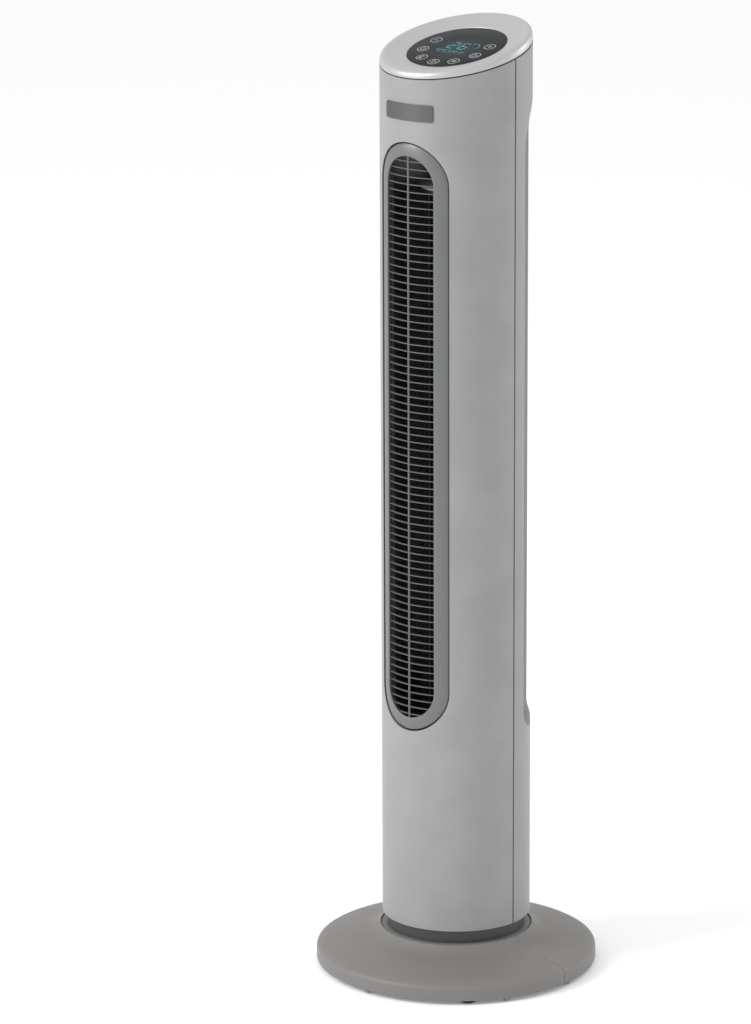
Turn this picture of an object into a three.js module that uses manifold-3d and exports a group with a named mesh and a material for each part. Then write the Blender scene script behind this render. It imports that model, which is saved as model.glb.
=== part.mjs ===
// An oscillating tower fan: a round two-piece base, a swivel with a geared drive, and a slim round
// tower that holds a cross-flow impeller, its duct, motor and electronics. Millimetres, +Z up, front -Y.
// The origin is on the floor, under the middle of the base.
import * as THREE from "three";
import { mergeVertices } from "three/addons/utils/BufferGeometryUtils.js";
import Module from "manifold-3d";

// ---- driving dimensions ----
const GAP = 0.3; // between pieces that rest on each other
const SHELL_R = 79; // outside of the tower
const SHELL_T = 2.6;
const SHELL_IN = SHELL_R - SHELL_T;
const SHELL_LOW = 56.7;
const SEAM_Z = 984.3; // where the slanted top seam crosses the axis
const SLANT = Math.tan(THREE.MathUtils.degToRad(13.3)); // the top falls towards the front
const SPLIT = 0.8; // half of the gap between the front and rear shells
const TOWER_SEGMENTS = 44;
const LIP = { rIn: 74.6, rOut: 76.1, front: -4, rear: 3.4, low: 67, high: 962 }; // behind the seams
const ACROSS = [-99, 99]; // clear of the tower on both sides
const UPWARD = [0, 1100]; // clear of the tower's top
const FORWARD = [-99, 0]; // clear of the tower's front
const REARWARD = [40, 99]; // clear of the tower's rear

const BASE_R = 150;
const BASE_LOW = 3;
const BASE_T = 3;
const WELL_R = 80.2; // the round well that the tower turns in
const DECK = { low: 26, high: 29, bore: 23 };
const FOOT = { ring: 138, r: 8, angles: [45, 135, 225, 315] };
const BASE_SCREW = { ring: 140, angles: [0, 61, 94, 168, 192, 266, 299] };
const BASE_ACROSS = [-2 * BASE_R, 2 * BASE_R];

const OUTLET = { halfWidth: 44, low: 274.6, high: 899.2 }; // outline of the bezel
const BEZEL = { rIn: 76.8, rOut: 79.5, clearance: 0.9 };
const MOUTH = { halfWidth: 30.4, low: 287, high: 885.8 }; // the opening inside the bezel
const RIB = { pitch: 7.95, first: 283.75, count: 77, height: 1.4, rIn: 73.4, rOut: 76, reach: 25 };
const GRILLE_FRAME = { rIn: 72.4, rOut: 76.4, inner: 1.2, outer: 5, reach: 40 }; // grown from the mouth
const CENTRE_BAR = { halfWidth: 1.25, front: -75, rear: -71, past: 3 };

// The window in the rear shell: angle to each side of the rear, heights and corner radii.
const INTAKE = { angle: 76, low: 266.7, high: 942, lowCorner: 21, highCorner: 58 };
const PANEL = { rIn: 73.9, rOut: 76, pastAngle: 2.5, past: 4.5 }; // sits behind the recess's edges
const GRIP = { halfWidth: 38, low: 912, high: 938, endRise: 13, depth: 24 };

const FAN_Y = 10; // the impeller stands a little behind the axis of the tower
const IMPELLER = { r: 45, low: 290, high: 884, blades: 16 };
const BULKHEADS = [{ low: 268, high: 271.5 }, { low: 905, high: 908.5 }];
const CABLE = { x: -64, y: -22, r: 2.5 };

const GEAR = { module: 1.5, ringTeeth: 48, pinionTeeth: 12, low: 34, high: 39.6, backlash: 0.12 };
const GEAR_SPACING = (GEAR.module * (GEAR.ringTeeth + GEAR.pinionTeeth)) / 2 + GEAR.backlash;
const HUB = { bore: 15, r: 22, shoulder: 27, flange: 58, high: 56 };
const TURNTABLE = { low: 48.3, high: 51.3, r: 70.6 };

// ---- solids: closed three.js geometries, cut and joined with manifold-3d ----
const wasm = await Module();
wasm.setup();
const radians = THREE.MathUtils.degToRad;

function solid(geometry) {
  const bare = geometry.index ? geometry.toNonIndexed() : geometry.clone();
  for (const name of ["normal", "uv"]) bare.deleteAttribute(name);
  const merged = mergeVertices(bare, 1e-4);
  const vertProperties = merged.attributes.position.array;
  const triVerts = new Uint32Array(merged.index.array);
  return new wasm.Manifold(new wasm.Mesh({ numProp: 3, vertProperties, triVerts }));
}

function geometryOf(made) {
  const { vertProperties, triVerts } = made.getMesh();
  const geometry = new THREE.BufferGeometry();
  geometry.setAttribute("position", new THREE.BufferAttribute(vertProperties, 3));
  geometry.setIndex(new THREE.BufferAttribute(triVerts, 1));
  geometry.computeVertexNormals();
  return geometry;
}

const joined = (solids) => solids.reduce((all, next) => all.add(next));

// A profile of [radius, height] pairs turned about Z.
function lathe(profile, segments) {
  const points = profile.map(([r, z]) => new THREE.Vector2(r, z));
  if (THREE.ShapeUtils.isClockWise(points)) points.reverse();
  if (points[0].x > 0 || points.at(-1).x > 0) points.push(points[0].clone());
  return new THREE.LatheGeometry(points, segments).rotateX(Math.PI / 2);
}

const revolved = (profile, segments = 24) => solid(lathe(profile, segments));

// The shear that raises a point by its distance to the rear.
const leaning = () => new THREE.Matrix4().set(1, 0, 0, 0, 0, 1, 0, 0, 0, SLANT, 1, 0, 0, 0, 0, 1);

const cylinder = (r, low, high, segments = 16) =>
  revolved([[0, low], [r, low], [r, high], [0, high]], segments);

const tube = (rIn, rOut, low, high, segments = 20) =>
  revolved([[rIn, low], [rOut, low], [rOut, high], [rIn, high]], segments);

const boxGeometry = ([x0, x1], [y0, y1], [z0, z1]) =>
  new THREE.BoxGeometry(x1 - x0, y1 - y0, z1 - z0)
    .translate((x0 + x1) / 2, (y0 + y1) / 2, (z0 + z1) / 2);

const block = (x, y, z) => solid(boxGeometry(x, y, z));

// A block whose heights are measured from the slanted plane of the top seam.
const blockAtTop = (x, y, z) =>
  solid(boxGeometry(x, y, z).applyMatrix4(leaning()).translate(0, 0, SEAM_Z));

const extrusion = (shape, depth, curveSegments) =>
  new THREE.ExtrudeGeometry(shape, { depth, bevelEnabled: false, curveSegments });

// A shape drawn in X and Y, raised along Z.
const raised = (shape, low, high, curveSegments = 8) =>
  solid(extrusion(shape, high - low, curveSegments).translate(0, 0, low));

// A shape drawn in X and Z, pushed along Y.
const pushed = (shape, y0, y1, curveSegments = 12) =>
  solid(extrusion(shape, y1 - y0, curveSegments).rotateX(Math.PI / 2).translate(0, y1, 0));

// A tall outline in X and Z with round or elliptical ends.
function stadium({ halfWidth, low, high, endRise = halfWidth }, grow = 0) {
  const rx = halfWidth + grow;
  const rz = endRise + grow;
  const shape = new THREE.Shape();
  shape.moveTo(rx, low + endRise);
  shape.lineTo(rx, high - endRise);
  shape.absellipse(0, high - endRise, rx, rz, 0, Math.PI, false);
  shape.lineTo(-rx, low + endRise);
  shape.absellipse(0, low + endRise, rx, rz, Math.PI, 2 * Math.PI, false);
  return shape;
}

// A point on a ring about the axis. Angle 0 is the front, and 90 is the +X side.
const onRing = (radius, degrees, z = 0) => [
  radius * Math.sin(radians(degrees)),
  -radius * Math.cos(radians(degrees)),
  z,
];

// The part of a round wall within an angle to each side of the front (0) or the rear (180).
function arcWall(rIn, rOut, low, high, halfAngle, middle = 0, steps = 8) {
  const start = radians(middle - 90 - halfAngle);
  const end = radians(middle - 90 + halfAngle);
  const shape = new THREE.Shape();
  shape.absarc(0, 0, rOut, start, end, false);
  shape.absarc(0, 0, rIn, end, start, true);
  return raised(shape, low, high, steps);
}

// A rod along a spoke of the tower, from one radius to another.
const spoke = (radius, from, to, degrees, z, segments = 10) =>
  cylinder(radius, from, to, segments).rotate([90, 0, degrees]).translate([0, 0, z]);

const front = () => block(ACROSS, [FORWARD[0], -SPLIT], UPWARD);
const rear = () => block(ACROSS, [SPLIT, REARWARD[1]], UPWARD);

// ---- materials ----
const plastic = (color, roughness = 0.55) => ({ color, roughness, metalness: 0 });
const metal = (color, roughness = 0.35) => ({ color, roughness, metalness: 1 });

const MATERIALS = {
  shell: plastic(0xb4b4b3, 0.7),
  trim: plastic(0x8d908f),
  grille: plastic(0x8a8c8b),
  base: plastic(0x86847f, 0.6),
  collar: plastic(0x4c4b4b, 0.3),
  badge: plastic(0x737474, 0.35),
  cap: metal(0xd0d0d0, 0.3),
  panel: plastic(0x222426, 0.12),
  impeller: plastic(0x303132),
  duct: plastic(0x1d1e1f, 0.6),
  steel: metal(0xa9abad),
  rubber: plastic(0x121212, 0.9),
  gear: plastic(0xe4e1d6, 0.4),
  board: plastic(0x1e5b3a, 0.4),
};

function piece(name, material, made, position = [0, 0, 0]) {
  const mesh = new THREE.Mesh(geometryOf(made), new THREE.MeshStandardMaterial(MATERIALS[material]));
  mesh.name = name;
  mesh.position.set(...position);
  return mesh;
}

// ---- base: two hollow mouldings screwed to a heavy steel plate ----
const BASE_SLOPE = [[147.2, 20.3], [139, 23.2], [100, 32.4], [85, 39.1]];
const BASE_UNDERSIDE = [[WELL_R + BASE_T, 36], [98.5, 29.4], [146, 17]];

function baseMoulding() {
  const shell = revolved([
    [BASE_R, BASE_LOW], [BASE_R, 16.6], [149, 19.2], ...BASE_SLOPE, [81.2, 42.5], [WELL_R, 41.8],
    [WELL_R, DECK.high], [DECK.bore, DECK.high], [DECK.bore, DECK.low],
    [WELL_R + BASE_T, DECK.low], ...BASE_UNDERSIDE, [BASE_R - BASE_T, BASE_LOW],
  ], TOWER_SEGMENTS);
  const posts = BASE_SCREW.angles.map((angle) =>
    cylinder(5, 6.3, 19.4, 10).translate(onRing(BASE_SCREW.ring, angle)));
  const bores = BASE_SCREW.angles.map((angle) =>
    cylinder(2.2, 0, 17.5, 8).translate(onRing(BASE_SCREW.ring, angle)));
  return joined([shell, ...posts]).subtract(joined(bores));
}

const INLET = { halfWidth: 7, low: 7.4, high: 14.6, endRise: 3.6 };
const INLET_BORE = 3.25;

// The mouldings meet on the X axis, with half of the gap on each side.
function baseHalf(side) {
  const depth = side < 0 ? [BASE_ACROSS[0], -GAP / 2] : [GAP / 2, BASE_ACROSS[1]];
  return baseMoulding().intersect(block(BASE_ACROSS, depth, [0, 90]));
}

function cordInlet() {
  const sleeve = pushed(stadium(INLET), BASE_R - 15, BASE_R - 0.4, 5);
  const collar = pushed(stadium(INLET, 1.1), BASE_R - 8, BASE_R - 5, 5);
  const bore = new THREE.Shape().absarc(0, (INLET.low + INLET.high) / 2, INLET_BORE, 0, 2 * Math.PI);
  return sleeve.add(collar).subtract(pushed(bore, BASE_R - 30, BASE_R + 5, 8));
}

function bottomPlate() {
  const plate = tube(42, 145.6, 3.5, 6, 36);
  const holes = BASE_SCREW.angles.map((angle) =>
    cylinder(2.4, 0, 20, 8).translate(onRing(BASE_SCREW.ring, angle)));
  return plate.subtract(joined(holes));
}

const FOOT_PAD = [[0, 0], [FOOT.r - 1, 0], [FOOT.r, 1], [FOOT.r, 3.2], [0, 3.2]];
const BASE_SCREW_PROFILE = [[0, 1], [4.5, 1.4], [4.5, 3.2], [1.9, 3.2], [1.9, 16.5], [0, 16.5]];

const base = new THREE.Group();
base.add(
  piece("base_front_half", "base", baseHalf(-1)),
  piece("base_rear_half", "base", baseHalf(1).subtract(pushed(stadium(INLET, GAP), 140, 155, 5))),
  piece("base_weight_plate", "steel", bottomPlate()),
  piece("cord_inlet", "rubber", cordInlet()),
  ...FOOT.angles.map((angle, i) =>
    piece(`foot_${i + 1}`, "rubber", revolved(FOOT_PAD, 16), onRing(FOOT.ring, angle))),
  ...BASE_SCREW.angles.map((angle, i) =>
    piece(`base_screw_${i + 1}`, "steel", revolved(BASE_SCREW_PROFILE, 10),
      onRing(BASE_SCREW.ring, angle))),
);

// ---- swivel: a fixed hub with a gear ring, and the nut and ring that hold the turntable down ----
function hub() {
  return revolved([
    [HUB.bore, 14], [HUB.r, 14], [HUB.r, DECK.high + GAP], [HUB.flange, DECK.high + GAP],
    [HUB.flange, 33.6], [HUB.shoulder, 33.6], [HUB.shoulder, 45.7], [HUB.r, 45.7],
    [HUB.r, HUB.high], [HUB.bore, HUB.high],
  ]);
}

function lockNut() {
  const grips = Array.from({ length: 6 }, (_, i) =>
    block([30, 39], [-4, 4], [17, 23]).rotate([0, 0, 60 * i]));
  return joined([tube(HUB.r + GAP, 34, 17, DECK.low - GAP), ...grips]);
}

const polar = (r, angle) => new THREE.Vector2(r * Math.cos(angle), r * Math.sin(angle));

// A gear outline with straight flanks. One tooth, or one space, points along +X. Past the toothed
// angle to each side of +X the rim is plain.
function gearShape(teeth, toothOnX, toothedAngle = 180) {
  const pitchR = (GEAR.module * teeth) / 2;
  const tipR = pitchR + 0.8 * GEAR.module;
  const rootR = pitchR - 1.05 * GEAR.module;
  const step = (2 * Math.PI) / teeth;
  const halfTip = (0.24 * GEAR.module) / tipR * Math.PI / 2;
  const halfRoot = (0.66 * GEAR.module) / rootR * Math.PI / 2;
  const points = [];
  for (let i = 0; i < teeth; i++) {
    const middle = (i + (toothOnX ? 0 : 0.5)) * step;
    if (Math.cos(middle) < Math.cos(radians(toothedAngle))) {
      if (i % 3 === 0) points.push(polar(rootR, middle));
      continue;
    }
    points.push(polar(rootR, middle - halfRoot), polar(tipR, middle - halfTip));
    points.push(polar(tipR, middle + halfTip), polar(rootR, middle + halfRoot));
  }
  return new THREE.Shape(points);
}

function gearRing() {
  const bore = cylinder(HUB.shoulder + 1, 0, 90, 24);
  return raised(gearShape(GEAR.ringTeeth, true, 72), GEAR.low, GEAR.high).subtract(bore);
}

function pinion() {
  const wheel = raised(gearShape(GEAR.pinionTeeth, false), GEAR.low, GEAR.high);
  return joined([wheel.rotate([0, 0, 180]), cylinder(3, GEAR.low, 61, 16)]);
}

base.add(
  piece("swivel_hub", "gear", hub()),
  piece("hub_lock_nut", "duct", lockNut()),
  piece("gear_ring", "gear", gearRing()),
  piece("glide_ring", "gear", tube(HUB.r + GAP, 31, 46, 48)),
  piece("hub_retainer", "steel", tube(HUB.r + GAP, 30, 51.6, 53.6)),
);

// ---- tower: everything that turns on the hub ----
const tower = new THREE.Group();

// A skirt that closes the well of the base, a neck that stands under the shells, and a rim in them.
const COLLAR = [
  [71, 31], [79.6, 31], [79.6, 42], [73.6, 42], [73.6, 59], [76.1, 59], [76.1, 65], [71, 65],
];

function turntable() {
  const plate = tube(HUB.r + 0.5, TURNTABLE.r, TURNTABLE.low, TURNTABLE.high, TOWER_SEGMENTS);
  return plate.subtract(cylinder(4, 0, 90, 16).translate([GEAR_SPACING, 0, 0]));
}

function swingMotor() {
  const can = cylinder(23, 57.5, 76, 30);
  const ear = block([-5, 5], [-31, 31], [57.5, 59.5]);
  const legs = [-27, 27].map((y) => cylinder(4, 51.6, 58, 12).translate([0, y, 0]));
  return joined([can, ear, ...legs]).subtract(cylinder(3 + GAP, 50, 62, 16));
}

tower.add(
  piece("swivel_collar", "collar", revolved(COLLAR, TOWER_SEGMENTS)),
  piece("turntable_plate", "steel", turntable()),
  piece("swing_motor", "steel", swingMotor(), [GEAR_SPACING, 0, 0]),
);

// Shells: one round wall, split at the sides and cut along the slanted seam.
const SHELL_SCREWS = [[135, 240], [225, 240], [135, 958], [225, 958]]; // angle, height

function towerWall() {
  const wall = tube(SHELL_IN, SHELL_R, SHELL_LOW, UPWARD[1], TOWER_SEGMENTS);
  return wall.intersect(blockAtTop(ACROSS, ACROSS, [-2 * SEAM_Z, -0.5]));
}

function frontShell() {
  const lip = tube(LIP.rIn, LIP.rOut, LIP.low, LIP.high, TOWER_SEGMENTS)
    .intersect(block(ACROSS, [LIP.front, LIP.rear], UPWARD));
  const lipRoot = tube(75.5, SHELL_IN + 0.6, LIP.low, LIP.high, TOWER_SEGMENTS)
    .intersect(block(ACROSS, [LIP.front, -SPLIT - GAP], UPWARD));
  const opening = pushed(stadium(OUTLET, BEZEL.clearance), ...FORWARD);
  return towerWall().intersect(front()).add(lip.add(lipRoot)).subtract(opening);
}

const cornerDrop = (radius, past) => radius - Math.sqrt(radius ** 2 - Math.max(0, past) ** 2);

// The window's lowest and highest point at an angle from the rear.
function windowEdges(degrees) {
  const { angle, low, high, lowCorner, highCorner } = INTAKE;
  const toSide = SHELL_R * radians(angle - Math.abs(degrees));
  return [
    low + cornerDrop(lowCorner, lowCorner - toSide),
    high - cornerDrop(highCorner, highCorner - toSide),
  ];
}

// The solid that cuts the window, in upright slices that meet on the outside of the shell.
function intakeWindow(slices = 24) {
  const step = (2 * INTAKE.angle) / slices;
  const half = (SHELL_R + GAP) * Math.tan(radians(step / 2));
  return joined(Array.from({ length: slices }, (_, i) => {
    const [from, to] = [-INTAKE.angle + i * step, -INTAKE.angle + (i + 1) * step];
    const [[lowFrom, highFrom], [lowTo, highTo]] = [windowEdges(from), windowEdges(to)];
    const corners = [[half, lowFrom], [-half, lowTo], [-half, highTo], [half, highFrom]];
    const slice = new THREE.Shape(corners.map(([x, z]) => new THREE.Vector2(x, z)));
    return pushed(slice, 60, REARWARD[1]).rotate([0, 0, (from + to) / 2]);
  }));
}

function rearShell() {
  let shell = towerWall().intersect(rear()).subtract(intakeWindow());
  for (const [angle, z] of SHELL_SCREWS) {
    shell = shell.add(spoke(5.5, 70.3, SHELL_IN + 1, angle, z, 14));
    shell = shell.subtract(spoke(4.4, 76.2, 90, angle, z, 14));
    shell = shell.subtract(spoke(2.2, 60, 90, angle, z, 14));
  }
  return shell;
}

const SHELL_SCREW = [[0, 60.5], [1.9, 60.5], [1.9, 76.5], [4.1, 76.5], [4.1, 78], [0, 78.5]];

tower.add(
  piece("front_shell", "shell", frontShell()),
  piece("rear_shell", "shell", rearShell()),
  ...SHELL_SCREWS.map(([angle, z], i) => {
    const made = revolved(SHELL_SCREW, 8).rotate([90, 0, angle]).translate([0, 0, z]);
    return piece(`shell_screw_${i + 1}`, "steel", made);
  }),
);

// Outlet: a bezel sunk in the front shell and a ribbed grille behind it.
function bezel() {
  const wall = tube(BEZEL.rIn, BEZEL.rOut, ...UPWARD, 72);
  const frame = wall.intersect(pushed(stadium(OUTLET), ...FORWARD, 10));
  return frame.subtract(pushed(stadium(MOUTH), ...FORWARD, 10));
}

function outletGrille() {
  const { rIn, rOut, inner, outer, reach } = GRILLE_FRAME;
  const edge = arcWall(rIn, rOut, OUTLET.low - outer, OUTLET.high + outer, reach, 0, 5)
    .intersect(pushed(stadium(MOUTH, outer), ...FORWARD, 6));
  const frame = edge.subtract(pushed(stadium(MOUTH, inner), ...FORWARD, 6));
  const ribs = [];
  for (let i = 0; i < RIB.count; i++) {
    const low = RIB.first + i * RIB.pitch - RIB.height / 2;
    ribs.push(arcWall(RIB.rIn, RIB.rOut, low, low + RIB.height, RIB.reach, 0, 2));
  }
  const { halfWidth, front: barFront, rear: barRear, past } = CENTRE_BAR;
  const bar = block([-halfWidth, halfWidth], [barFront, barRear], [MOUTH.low - past, MOUTH.high + past]);
  const inside = pushed(stadium(MOUTH, past), ...FORWARD, 6);
  return joined([frame, joined(ribs).intersect(inside), bar]);
}

tower.add(
  piece("front_bezel", "trim", bezel()),
  piece("outlet_grille", "grille", outletGrille()),
);

// Intake: a slotted panel behind the opening of the rear shell, with a hand grip above the slots.
const SLOTS = { columns: 9, rows: 4, low: 282, rowPitch: 154, length: 147, width: 9, spread: 44 };

function intakeGrille() {
  const { low: bottom, high: top, angle: edge } = INTAKE;
  const { rIn, rOut, past, pastAngle } = PANEL;
  const panel = arcWall(rIn, rOut, bottom - past, top + past, edge + pastAngle, 180, 12);
  const cuts = [];
  for (let column = 0; column < SLOTS.columns; column++) {
    const angle = 180 + SLOTS.spread * ((2 * column) / (SLOTS.columns - 1) - 1);
    for (let row = 0; row < SLOTS.rows; row++) {
      const low = SLOTS.low + row * SLOTS.rowPitch;
      const half = SLOTS.width / 2;
      cuts.push(block([-half, half], [-85, -65], [low, low + SLOTS.length]).rotate([0, 0, angle]));
    }
  }
  return panel.subtract(joined(cuts)).subtract(pushed(stadium(GRIP), ...REARWARD, 8));
}

function handGrip() {
  const cup = pushed(stadium(GRIP, 2.5), 76 - GRIP.depth, 76, 8)
    .subtract(pushed(stadium(GRIP), 78 - GRIP.depth, REARWARD[1], 8));
  return cup.intersect(cylinder(PANEL.rIn - GAP, ...UPWARD, TOWER_SEGMENTS));
}

tower.add(
  piece("intake_grille", "grille", intakeGrille()),
  piece("hand_grip", "grille", handGrip()),
);

// Duct: two end walls, a scroll that guides the air out and a tongue that keeps it from turning back.
function bulkhead({ low, high }, bore) {
  const ears = cylinder(76.1, low, high, 36).intersect(block(ACROSS, [-45, -5], UPWARD));
  const disc = cylinder(73.2, low, high, 36).add(ears);
  const shaftHole = cylinder(bore, ...UPWARD).translate([0, FAN_Y, 0]);
  const cableHole = cylinder(CABLE.r + 1.5, ...UPWARD, 8).translate([CABLE.x, CABLE.y, 0]);
  return disc.subtract(shaftHole).subtract(cableHole);
}

// Blocks on the end walls that take the shell screws.
const screwBlocks = (z, [low, high]) => [135, 225].map((angle) =>
  block([-7, 7], [-69.8, -57], [low, high]).rotate([0, 0, angle])
    .subtract(spoke(2.2, 59, 80, angle, z)));

// A wall of even thickness that follows a smooth curve through points in X and Y.
function wallShape(points, thickness, steps) {
  const curve = new THREE.SplineCurve(points.map(([x, y]) => new THREE.Vector2(x, y)));
  const left = [];
  const right = [];
  for (let i = 0; i <= steps; i++) {
    const along = curve.getTangent(i / steps);
    const across = new THREE.Vector2(-along.y, along.x).multiplyScalar(thickness / 2);
    left.push(curve.getPoint(i / steps).add(across));
    right.unshift(curve.getPoint(i / steps).sub(across));
  }
  return new THREE.Shape([...left, ...right]);
}

const DUCT = { low: BULKHEADS[0].high + GAP, high: BULKHEADS[1].low - GAP };
const SCROLL = [[-44, 33], [-51, 20], [-53, 0], [-48, -28], [-34, -60]];
const TONGUE = [[52, -6], [47.5, -9], [44, -20], [40, -38], [34, -60]];

function upperBulkhead() {
  const boss = tube(9 + GAP, 13, 900, 906, 16).translate([0, FAN_Y, 0]);
  const shelf = screwBlocks(958, [907, 966]);
  return joined([bulkhead(BULKHEADS[1], 9 + GAP), boss, ...shelf]);
}

const BEARING = [[3.2, 898], [9, 898], [9, 908.8], [11.5, 908.8], [11.5, 911], [3.2, 911]];

tower.add(
  piece("lower_end_wall", "duct",
    joined([bulkhead(BULKHEADS[0], 16), ...screwBlocks(240, [232, 269])])),
  piece("upper_end_wall", "duct", upperBulkhead()),
  piece("duct_scroll", "duct", raised(wallShape(SCROLL, 2, 12), DUCT.low, DUCT.high)),
  piece("duct_tongue", "duct", raised(wallShape(TONGUE, 2, 8), DUCT.low, DUCT.high)),
  piece("bearing_bush", "steel", revolved(BEARING, 16), [0, FAN_Y, 0]),
);

// Fan motor, hung in a cup under the lower end wall.
const MOTOR_CUP = [[38.4, 196], [41, 196], [41, 262], [49, 262], [49, 267.7], [38.4, 267.7]];
const MOTOR = [
  [0, 186], [20, 186], [22, 196], [38, 200], [38, 255], [30, 262], [12, 262], [12, 264], [0, 264],
];

function fanMotor() {
  return revolved(MOTOR, 24).subtract(cylinder(4 + GAP, 249, 300, 16));
}

tower.add(
  piece("motor_cup", "duct", revolved(MOTOR_CUP, 24), [0, FAN_Y, 0]),
  piece("fan_motor", "steel", fanMotor(), [0, FAN_Y, 0]),
);

// Electronics: the mains board low in the tower, and the touch board and display under the panel.
function mainsBoard() {
  const board = block([-34, 34], [30, 31.6], [92, 172]);
  const transformer = block([-26, 2], [8, 30.5], [98, 126]);
  const relay = block([8, 26], [16, 30.5], [100, 114]);
  const capacitor = cylinder(7, 140, 164, 16).translate([14, 22.6, 0]).add(
    block([8, 20], [26, 30.5], [144, 160]));
  return joined([board, transformer, relay, capacitor]);
}

const cable = cylinder(CABLE.r, 120, 958, 10).translate([CABLE.x, CABLE.y, 0]);

tower.add(
  piece("mains_board", "board", mainsBoard()),
  piece("control_cable", "rubber", cable),
  piece("touch_board", "board", blockAtTop([-40, 40], [-34, 34], [-6, -4.4])),
  piece("display_module", "panel", blockAtTop([-22, 22], [-12, 12], [-4.1, 0.6])),
);

// Top: a dished metal-look ring around the glossy touch panel, and the blank badge on the front.
const CAP = [
  [50, -0.6], [50, 1.2], [53.4, 1.2], [53.4, 3.7], [65, 7.2], [71.5, 10.6], [74.6, 11.2],
  [77.6, 9.6], [79, 5.8], [79, 0.5], [76, 0.5], [76, -8], [74, -8], [74, 7.6], [58.5, -0.6],
];
const TOUCH_PANEL = { r: 53.1, depth: 0.93, rearward: 1.5, crest: 72 };
const TOUCH_PANEL_DISC = [[0, 1.5], [53.1, 1.5], [53.1, 3.4], [0, 3.4]];
const EXTRA_SLANT = Math.tan(radians(15.5)) - SLANT; // the panel is tipped more than the seam
const CREST_TIP = 0.0015; // and the crest of the ring stands higher towards the rear

// Inside its crest the ring's face is drawn down to the touch panel, which is an ellipse that is
// tipped more than the seam and sits a little to the rear.
function drawnToPanel(profile) {
  const geometry = lathe(profile, TOWER_SEGMENTS);
  const points = geometry.attributes.position;
  const { r, depth, rearward, crest } = TOUCH_PANEL;
  for (let i = 0; i < points.count; i++) {
    const [x, y, z] = [points.getX(i), points.getY(i), points.getZ(i)];
    const share = THREE.MathUtils.clamp((crest - Math.hypot(x, y)) / (crest - r), 0, 1);
    const drawnY = y * (1 - share * (1 - depth)) + share * rearward;
    const lift = Math.max(0, z) * (1 - share) * CREST_TIP * y;
    points.setXYZ(i, x, drawnY, z + share * EXTRA_SLANT * drawnY + lift);
  }
  return solid(geometry.applyMatrix4(leaning()).translate(0, 0, SEAM_Z));
}

const BADGE = { low: 922.6, high: 939.9, halfAngle: 22.6, rOut: 80.5 };

tower.add(
  piece("top_cap_ring", "cap", drawnToPanel(CAP)),
  piece("control_panel", "panel", drawnToPanel(TOUCH_PANEL_DISC)),
  piece("badge_plate", "badge",
    arcWall(SHELL_R + GAP, BADGE.rOut, BADGE.low, BADGE.high, BADGE.halfAngle, 0, 8)),
);

// ---- impeller: turned by the fan motor through a rubber coupling ----
const impeller = new THREE.Group();

function bladeAt(angle) {
  const inner = polar(34.5, angle + 0.12);
  const outer = polar(IMPELLER.r - 0.6, angle);
  const bow = polar(40.5, angle - 0.03);
  const curve = [[inner.x, inner.y], [bow.x, bow.y], [outer.x, outer.y]];
  return raised(wallShape(curve, 1.1, 2), IMPELLER.low + 1, IMPELLER.high - 1);
}

function drum() {
  const blades = Array.from({ length: IMPELLER.blades }, (_, i) =>
    bladeAt((2 * Math.PI * i) / IMPELLER.blades));
  const { r, low, high } = IMPELLER;
  const discs = [cylinder(r, low, low + 3, 32), cylinder(r, high - 3, high, 32)];
  const middleRing = tube(33, r, (low + high) / 2 - 1, (low + high) / 2 + 1, 32);
  return joined([...blades, ...discs, middleRing]);
}

impeller.add(
  piece("impeller_drum", "impeller", drum(), [0, FAN_Y, 0]),
  piece("drive_coupling", "rubber", tube(4 + GAP, 14, 274, 289.7, 24), [0, FAN_Y, 0]),
  piece("motor_shaft", "steel", cylinder(4, 250, 289.5, 16), [0, FAN_Y, 0]),
  piece("bearing_pin", "steel", cylinder(3, 884.3, 914, 16), [0, FAN_Y, 0]),
);

// ---- pinion: driven by the swing motor, rolls round the fixed gear ring ----
const swingDrive = new THREE.Group();
swingDrive.add(piece("drive_pinion", "gear", pinion(), [GEAR_SPACING, 0, 0]));

const fan = new THREE.Group();
fan.name = "tower_fan";
fan.add(base, tower, impeller, swingDrive);

export default fan;
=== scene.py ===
"""An oscillating tower fan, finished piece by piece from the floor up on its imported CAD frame."""

from math import asin, cos, degrees, hypot, pi, radians, sin, sqrt, tan

import bmesh
import bpy
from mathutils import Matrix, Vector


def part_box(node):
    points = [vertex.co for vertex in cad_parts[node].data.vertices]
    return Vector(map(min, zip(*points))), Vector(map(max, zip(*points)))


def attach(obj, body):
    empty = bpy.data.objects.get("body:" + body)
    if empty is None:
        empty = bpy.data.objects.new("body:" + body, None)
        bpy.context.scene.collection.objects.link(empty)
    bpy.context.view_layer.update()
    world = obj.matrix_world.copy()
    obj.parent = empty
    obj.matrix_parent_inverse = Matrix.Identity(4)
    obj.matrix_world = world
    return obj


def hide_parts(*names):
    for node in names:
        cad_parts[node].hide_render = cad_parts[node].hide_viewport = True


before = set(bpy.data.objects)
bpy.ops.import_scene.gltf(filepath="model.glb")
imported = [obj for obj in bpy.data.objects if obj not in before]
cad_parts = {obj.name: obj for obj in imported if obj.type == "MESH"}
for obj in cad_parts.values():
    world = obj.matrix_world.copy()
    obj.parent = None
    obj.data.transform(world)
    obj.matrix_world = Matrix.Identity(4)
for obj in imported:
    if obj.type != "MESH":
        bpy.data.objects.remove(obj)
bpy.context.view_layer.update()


# ---- Base mouldings ----
# Two hollow half discs in warm grey plastic, injection moulded with a fine spark-eroded grain.
# They meet on a line from side to side and are screwed up through the steel plate under them.

MM = 0.001  # sizes below are in millimetres, and Blender works in metres


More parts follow.
